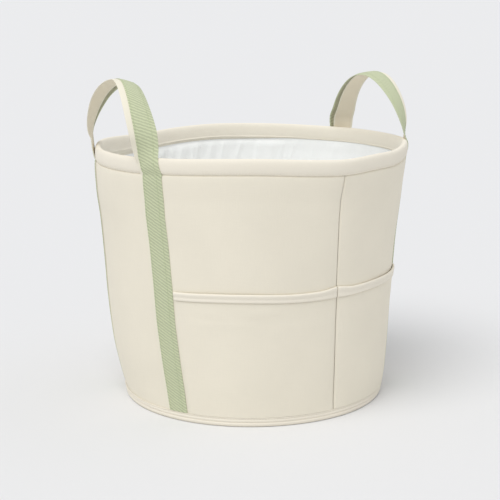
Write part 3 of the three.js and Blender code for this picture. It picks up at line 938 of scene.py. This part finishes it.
def pocket_panel(pocket):
    rings = []
    for share in pocket_shares():
        top, foot = pocket_top(pocket, share), pocket_binding_foot(pocket, share)
        heights = rows_past_foot(HEM_HEIGHT + GAP, foot, top, POCKET_CLOSE_BELOW, POCKET_COUNTS)
        face = [pocket_point(pocket, share, z, pocket_face(share, z - foot)) for z in heights]
        back = [pocket_point(pocket, share, z, 0) for z in reversed(heights)]
        rings.append(face + back)
    return rings


# Section of the strip over a pocket's top edge: its face, as offsets in mm past its plain thickness
# and shares of its height, then its fold, as offsets in mm from the pocket's inside and shares
STRIP_FACE = [(0.2, 0), (0.5, 0.04), (0.55, 0.14), (0.35, 0.3), (0.05, 0.4), (0.3, 0.5),
              (0.7, 0.64), (0.9, 0.78), (0.7, 0.9), (0, 0.985)]
STRIP_FOLD = [(0.8, 1), (0.3, 0.985), (0, 0.95)]
STRIP_ROLL = 0.8
STRIP_TOP_ROLL = 0.6


def binding_outline(pocket, share):
    """Offsets and heights of the strip folded over a pocket's top edge."""
    top, foot = pocket_top(pocket, share), pocket_binding_foot(pocket, share)
    near = POCKET_THICKNESS + GAP / 2
    far = POCKET_THICKNESS + GAP + POCKET_BINDING_THICKNESS
    roll = edge_roll(share) * STRIP_ROLL
    fold = top + GAP + POCKET_BINDING_THICKNESS
    height = fold - foot
    outer = [(far + offset * MM, rise) for offset, rise in STRIP_FACE]
    outer += [(offset * MM, rise) for offset, rise in STRIP_FOLD]
    outline = [(offset - roll, foot + height * rise) for offset, rise in outer]
    under_fold = top + GAP / 2
    return outline + [(0.0, under_fold), (near - roll * STRIP_TOP_ROLL, under_fold),
                      (near - roll, foot)]


def pocket_strip(pocket):
    return [[pocket_point(pocket, share, z, offset)
             for offset, z in binding_outline(pocket, share)] for share in pocket_shares()]


LIFT_ROUNDING = 0.08


def add_pockets():
    """Adds the pockets; lift is how far a top edge rises, in mm, at shares of its width."""
    left, right = HANDLES
    pockets = [
        {"name": "front_left", "seam": FRONT_SEAM, "turn": -1, "handle": left,
         "lift": [(0, 0), (0.13, -0.7), (0.25, -1.2), (0.35, -0.7), (0.45, 0), (0.55, 0.7),
                  (0.75, 0.8), (0.88, -0.2), (1, -0.8)]},
        {"name": "front_right", "seam": FRONT_SEAM, "turn": 1, "handle": right,
         "lift": [(0, -0.2), (0.2, -0.5), (0.5, 0), (1, -0.8)]},
        {"name": "back_left", "seam": BACK_SEAM, "turn": 1, "handle": left,
         "lift": [(0, 0), (0.3, -0.8), (0.7, 0.6), (1, -0.5)]},
        {"name": "back_right", "seam": BACK_SEAM, "turn": -1, "handle": right,
         "lift": [(0, 0), (0.5, -1), (1, 0)]},
    ]
    for pocket in pockets:
        pocket["lift"] = rounded(pocket["lift"], LIFT_ROUNDING)
        name = pocket["name"]
        panel_rings, strip_rings = pocket_panel(pocket), pocket_strip(pocket)
        lengths = running_lengths([ring[POCKET_WIDTH_ROW] for ring in panel_rings])
        heights = [point.z for point in panel_rings[0]]
        panel = loft(f"pocket_cloth_{name}", panel_rings, lengths, heights, CANVAS, "canvas")
        strip_heights = [point.z for point in strip_rings[0]]
        strip = loft(f"pocket_edge_{name}", strip_rings, lengths, strip_heights, BINDING,
                     "canvas_binding")
        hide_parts(f"pocket_{name}")
        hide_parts(f"pocket_binding_{name}")
        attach(panel, "bin")
        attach(strip, "bin")


# Handle straps, each laid out from the leg at the greater azimuth, over the loop, to the other leg

BACKING = {"from": -STRAP_WIDTH / 2, "to": STRAP_WIDTH / 2 - TAPE_SHIFT, "bare": -STRAP_WIDTH / 2,
           "inner": -0.65 * MM, "outer": -0.05 * MM}
TAPE = {"from": -STRAP_WIDTH / 2 + TAPE_SHIFT, "to": STRAP_WIDTH / 2, "bare": STRAP_WIDTH / 2,
        "inner": 0.05 * MM, "outer": 0.6 * MM}
STRAP_FOOT = 10.4 * MM
STRAP_CLEARANCE = 0.1 * MM
SEAT_RISE = 6 * MM
BESIDE_BELOW = 2 * MM
BESIDE_FADE = 6 * MM
EDGE_SAG_START = 0.2 * MM
GROOVE_BRIDGED = 0.8
LEG_EDGE_SAG = 0.6 * MM
LOOP_EDGE_SAG = 0.35 * MM
EDGE_SAG_WIDTH = 2.5 * MM
STRAY_FADE = 0.2
OUT_FADE = 0.45
TURN_POWER = 1.2
PATH_SMOOTHING = 8
CUP_CURVE = 0.018 / MM
CROWN_DRAW = 1.6 * MM
LOOP_DRAW = 1.4 * MM
LOOP_TRIM = 0.2 * MM
# How much narrower the tape is, in mm, at some heights in mm
TAPE_TAPER = [(10, 2.4), (85, 1.4), (200, 0.3), (240, 0)]
STRAP_STITCH_ROWS = (TAPE["from"] + 1.8 * MM, BACKING["to"] - 1.6 * MM)


def handle_point(handle, distance, chord, z):
    along_handle = Vector((math.cos(handle["azimuth"]), math.sin(handle["azimuth"]), 0))
    across = Vector((-along_handle.y, along_handle.x, 0))
    return Vector((0, 0, z)) + along_handle * distance + across * chord


def strap_seat(azimuth, z):
    """Offset of the strap's inner face: on the wall, then up over the rim binding."""
    on_band = smooth((z - band_foot(azimuth) + SEAT_RISE / 2) / SEAT_RISE)
    bridge = GROOVE_BRIDGED * foot_groove(azimuth, z)
    return STRAP_CLEARANCE + mix(0, band_face(azimuth, z), on_band) + bridge


def on_wall(handle, side, across, z, lift):
    azimuth = leg_azimuth(handle, side, across, min(z, BODY_HEIGHT))
    return wall_point(azimuth, z, strap_seat(azimuth, z) - BACKING["inner"] + lift)


def crest_height(handle, side):
    return rim_height(leg_azimuth(handle, side, 0, BODY_HEIGHT))


def freedom(handle, side, z):
    """How far the strap has left the rim: 0 on it, 1 where the loop starts."""
    start = crest_height(handle, side) - handle["sides"][side]["peel"] * MM
    return clamp((z - start) / (PIVOT_HEIGHT - start))


def leg_facing(handle, side, z):
    return mix(FLAT_FACING, handle["sides"][side]["facing"],
               freedom(handle, side, z) ** TURN_POWER)


def leg_centre(handle, side, z):
    """Middle of the strap, held off the rim binding where the strap has turned beside it."""
    chord = side * (LEG_HALF_SPACING + stray(handle, side, z))
    distance = PIVOT_DISTANCE + handle["sides"][side]["out"] * MM
    centre = on_wall(handle, side, 0, z, 0).lerp(
        handle_point(handle, distance, chord, z), smooth(freedom(handle, side, z)))
    turned = math.sin(leg_facing(handle, side, z)) - math.sin(FLAT_FACING)
    beside = 1 - smooth((z - crest_height(handle, side) + BESIDE_BELOW) / BESIDE_FADE)
    return centre + handle_point(handle, STRAP_WIDTH / 2 * turned * beside, 0, 0)


def loop_centre(handle, share):
    turn = share * math.pi / 2
    upright = max(math.cos(turn), 0)
    side = 1 if share > 0 else -1
    pinch = handle["pinch"] * math.sin(2 * turn) ** 2
    base = stray(handle, side, PIVOT_HEIGHT) * smooth(1 - (1 - abs(share)) / STRAY_FADE)
    chord = LEG_HALF_SPACING * math.sin(turn) + side * (base - pinch) + handle["shift"] * upright
    bow = handle["bow"] * math.sin(2 * abs(turn))
    out = handle["sides"][side]["out"] * MM * smooth(1 - (1 - abs(share)) / OUT_FADE)
    distance = PIVOT_DISTANCE - handle["lean"] * upright ** 2 + bow + out
    rise = (handle["rise"] - FOLD_HEIGHT) * upright ** handle["fullness"]
    return handle_point(handle, distance, chord, PIVOT_HEIGHT + rise)


def loop_facing(handle, share):
    side = handle["sides"][1 if share > 0 else -1]
    return mix(handle["crown"], side["facing"], abs(share) ** side["power"])


def strap_path(handle):
    """Rows of side, height, centre, facing, freedom and nearness to the top along the strap."""
    heights = spread(STRAP_FOOT, PIVOT_HEIGHT, LEG_ROWS)[:-1]
    legs = {side: [(side, z, leg_centre(handle, side, z), leg_facing(handle, side, z),
                    freedom(handle, side, z), 0.0) for z in heights] for side in (1, -1)}
    loop = [(1 if share > 0 else -1, PIVOT_HEIGHT, loop_centre(handle, share),
             loop_facing(handle, share), 1.0, 1 - share ** 2) for share in spread(1, -1, LOOP_ROWS)]
    return legs[1] + loop + legs[-1][::-1]


def eased(centres, free):
    """Centres with the corners taken out where the strap has left the wall."""
    for _ in range(PATH_SMOOTHING):
        around_each = zip(centres, centres[1:], centres[2:], free[1:])
        inside = [here.lerp((before + after) / 2, 0.5 * smooth(loose * 4))
                  for before, here, after, loose in around_each]
        centres = centres[:1] + inside + centres[-1:]
    return centres


def edge_draw(z, free, top):
    """How far the covered edges, the bare edges and the bare edge of the tape draw in."""
    return {"covered": LOOP_DRAW * free + CROWN_DRAW * top, "bare": LOOP_TRIM * free,
            "tape": along(TAPE_TAPER, z / MM) * MM}


def strap_frames(handle):
    """Pairs of a function of (across, lift) and how far the edges draw in, along the strap."""
    path = strap_path(handle)
    sides, heights, centres, facings, free, tops = (list(column) for column in zip(*path))
    centres = eased(centres, free)
    outward = handle_point(handle, 1, 0, 0)
    frames = []
    for i, centre in enumerate(centres):
        ahead, behind = centres[min(i + 1, len(centres) - 1)], centres[max(i - 1, 0)]
        tangent = (ahead - behind).normalized()
        out = (outward - tangent * outward.dot(tangent)).normalized()
        normal = out * math.cos(facings[i]) + tangent.cross(out) * math.sin(facings[i])
        axes = (centre, tangent.cross(normal), normal)
        frames.append((strap_place(handle, sides[i], heights[i], free[i], tops[i], axes),
                       edge_draw(heights[i], free[i], tops[i])))
    return frames


def strap_place(handle, side, z, free, top, axes):
    centre, width, normal = axes
    sag = mix(LEG_EDGE_SAG, LOOP_EDGE_SAG, free)
    start = BACKING["to"] + EDGE_SAG_START
    curve = CUP_CURVE * top

    def place(across, lift):
        settled = lift - sag * smooth((across - start) / EDGE_SAG_WIDTH)
        cupped = curve * across ** 2 / 2
        framed = centre + width * (across * (1 - curve * cupped / 3)) + normal * (settled - cupped)
        if free == 1:
            return framed
        return on_wall(handle, side, across, z, settled).lerp(framed, smooth(free * 2))
    return place


def drawn_in(layer, across, draw):
    """A place across a layer once its edges have drawn in."""
    covered = layer["to"] if layer["bare"] == layer["from"] else layer["from"]
    share = (across - layer["bare"]) / (covered - layer["bare"])
    bare = draw["bare"] + (draw["tape"] if layer is TAPE else 0)
    inward = math.copysign(1, covered - layer["bare"])
    return across + inward * (bare * (1 - share) - draw["covered"] * share)


def strip_outline(layer):
    """Section of a woven strip with rounded edges, as (across, lift) places."""
    thick = layer["outer"] - layer["inner"]
    middle, half = (layer["outer"] + layer["inner"]) / 2, thick / 2
    left, right = layer["from"] + half, layer["to"] - half
    edge = [(math.cos(turn), math.sin(turn)) for turn in spread(-math.pi / 2, math.pi / 2, 4)]
    rightwards = [(across, layer["inner"]) for across in spread(left, right, STRIP_COLUMNS)[1:-1]]
    leftwards = [(across, layer["outer"]) for across in spread(right, left, STRIP_COLUMNS)[1:-1]]
    right_edge = [(right + half * out, middle + half * up) for out, up in edge]
    left_edge = [(left - half * out, middle - half * up) for out, up in edge]
    return rightwards + right_edge + leftwards + left_edge


def face_underside(strip, columns_round, material):
    """Gives the inner face of a strip the other side of its cloth, in a darker colour that on the
    green tape is partly painted shade.
    """
    strip.data.materials.append(material)
    for polygon in strip.data.polygons:
        if polygon.index % columns_round < STRIP_COLUMNS - 2:
            polygon.material_index = 1


def strap_strip(handle, frames, name, layer, materials, slot):
    outline = strip_outline(layer)
    rings = [[place(drawn_in(layer, across, draw), lift) for across, lift in outline]
             for place, draw in frames]
    lengths = running_lengths([place(0, layer["outer"]) for place, _ in frames])
    heights = [across for across, _ in outline]
    strip = loft(f"{handle['name']}_strap_{name}", rings, lengths, heights, materials[0], slot)
    face_underside(strip, len(outline), materials[1])
    return strip


def bend_with_handle(piece, handle):
    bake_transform(piece)


def strap_line(frames, layer, across):
    points, normals = [], []
    for place, draw in frames:
        drawn = drawn_in(layer, across, draw)
        points.append(place(drawn, layer["outer"]))
        normals.append((place(drawn, layer["outer"] + 1 * MM) - points[-1]).normalized())
    return points, normals


def add_handle(handle):
    frames = strap_frames(handle)
    layers = (("backing", BACKING, (CREAM, CREAM_UNDERSIDE), "cream_twill"),
              ("tape", TAPE, (GREEN, GREEN_BACK_WITH_PAINTED_SHADE), "green_twill"))
    for name, layer, materials, slot in layers:
        strip = strap_strip(handle, frames, name, layer, materials, slot)
        nodes = [f"{handle['name']}_{part}_{name}" for part in ("front_leg", "loop", "rear_leg")]
        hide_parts(*nodes)
        bend_with_handle(strip, handle)
    lines = [strap_line(frames, TAPE, across) for across in STRAP_STITCH_ROWS]
    seams = stitches(f"{handle['name']}_strap_stitches", lines, GREEN_THREAD, "green_twill")
    bend_with_handle(seams, handle)


# Stitch rows on the body

def wall_line(azimuths, height, offset):
    points = [wall_point(azimuth, height(azimuth), offset(azimuth)) for azimuth in azimuths]
    normals = [wall_normal(azimuth, height(azimuth)) for azimuth in azimuths]
    return points, normals


def add_body_stitches():
    full = spread(FRONT_SEAM, FRONT_SEAM + 2 * math.pi, COLUMNS_AROUND)
    rim = wall_line(full, lambda a: band_foot(a) + RIM_STITCH_RISE,
                    lambda a: band_face(a, band_foot(a) + RIM_STITCH_RISE) - RIM_STITCH_SINK)
    inner_points = [wall_point(a, inner_foot(a) + RIM_STITCH_RISE, INNER_STITCH_OFFSET) for a in full]
    inner_normals = [Vector((-math.cos(a), -math.sin(a), 0)) for a in full]
    hem = wall_line(full, lambda a: HEM_STITCH_HEIGHT, lambda a: HEM_STITCH_OFFSET)
    rows = stitches("rim_and_hem_stitches", [rim, (inner_points, inner_normals), hem], THREAD,
                    "canvas_binding")
    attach(rows, "bin")


# Camera, light and floor

CAMERA_TURN = math.radians(-27.2)
CAMERA_BESIDE = -2.73 * MM
CAMERA_DISTANCE = 1472.9 * MM
CAMERA_HEIGHT = 470.5 * MM
CAMERA_PITCH = math.radians(11.737)
CAMERA_ROLL = math.radians(0.4837)
CAMERA_LENS = 92.06


def camera_frame(beside, ahead, up):
    """A direction or place given beside, ahead of and above the camera's upright frame."""
    return Matrix.Rotation(CAMERA_TURN, 3, "Z") @ Vector((beside, ahead, up))


def add_camera():
    forward = camera_frame(0, math.cos(CAMERA_PITCH), -math.sin(CAMERA_PITCH))
    level_right = camera_frame(1, 0, 0)
    level_up = level_right.cross(forward)
    right = level_right * math.cos(CAMERA_ROLL) - level_up * math.sin(CAMERA_ROLL)
    up = level_up * math.cos(CAMERA_ROLL) + level_right * math.sin(CAMERA_ROLL)
    data = bpy.data.cameras.new("camera")
    data.lens = CAMERA_LENS
    camera = add_object("camera", data)
    turn = Matrix((right, up, -forward)).transposed().to_4x4()
    camera.matrix_world = Matrix.Translation(
        camera_frame(CAMERA_BESIDE, -CAMERA_DISTANCE, CAMERA_HEIGHT)) @ turn
    bpy.context.scene.camera = camera


BACKDROP = linear(236, 236, 236)
WORLD_LIGHT = 0.62
WORLD_COLOUR = (0.99, 1.0, 1.03, 1.0)

# Lamps: strength, spread, and the direction that the light comes from, beside, ahead and up
LAMPS = {
    "key": (1.6, math.radians(40), (-0.25, -0.43, 0.87)),
    "fill": (0.15, math.radians(60), (0.66, 0.24, 0.71)),
}


def add_lamp(name, strength, spread_angle, source):
    data = bpy.data.lights.new(name, "SUN")
    data.energy = strength
    data.angle = spread_angle
    lamp = add_object(name, data)
    lamp.rotation_mode = "QUATERNION"
    lamp.rotation_quaternion = camera_frame(*source).to_track_quat("Z", "Y")


def add_light():
    for name, (strength, spread_angle, source) in LAMPS.items():
        add_lamp(name, strength, spread_angle, source)
    world = bpy.data.worlds.new("studio")
    bpy.context.scene.world = world
    world.use_nodes = True
    graph = Graph(world)
    background = world.node_tree.nodes["Background"]
    rays = graph.node("ShaderNodeLightPath")
    seen = graph.math("MAXIMUM", rays.outputs["Is Camera Ray"], rays.outputs["Is Glossy Ray"])
    graph.feed(background.inputs["Color"], graph.mix_colour(seen, WORLD_COLOUR, BACKDROP))
    graph.feed(background.inputs["Strength"],
               graph.math("ADD", graph.math("MULTIPLY", seen, 1 - WORLD_LIGHT), WORLD_LIGHT))


FLOOR_SIZE = 120.0
FLOOR_DROP = 0.2 * MM


def add_floor():
    half = FLOOR_SIZE / 2
    mesh = bpy.data.meshes.new("floor")
    mesh.from_pydata([(-half, -half, 0), (half, -half, 0), (half, half, 0), (-half, half, 0)], [],
                     [(0, 1, 2, 3)])
    floor = add_object("floor", mesh)
    floor.location.z = -FLOOR_DROP
    material = bpy.data.materials.new("floor")
    material.use_nodes = True
    shader = material.node_tree.nodes["Principled BSDF"]
    lit = WORLD_LIGHT + sum(strength / math.pi * Vector(source).normalized().z
                            for strength, _, source in LAMPS.values())
    shader.inputs["Base Color"].default_value = shaded(BACKDROP, 1 / lit)
    shader.inputs["Roughness"].default_value = 1.0
    shader.inputs["Specular IOR Level"].default_value = 0.0
    mesh.materials.append(material)


add_wall()
add_lining()
add_base()
add_bindings()
add_pockets()
for bin_handle in HANDLES:
    add_handle(bin_handle)
add_body_stitches()
add_camera()
add_light()
add_floor()
bpy.context.scene.view_settings.view_transform = "Standard"
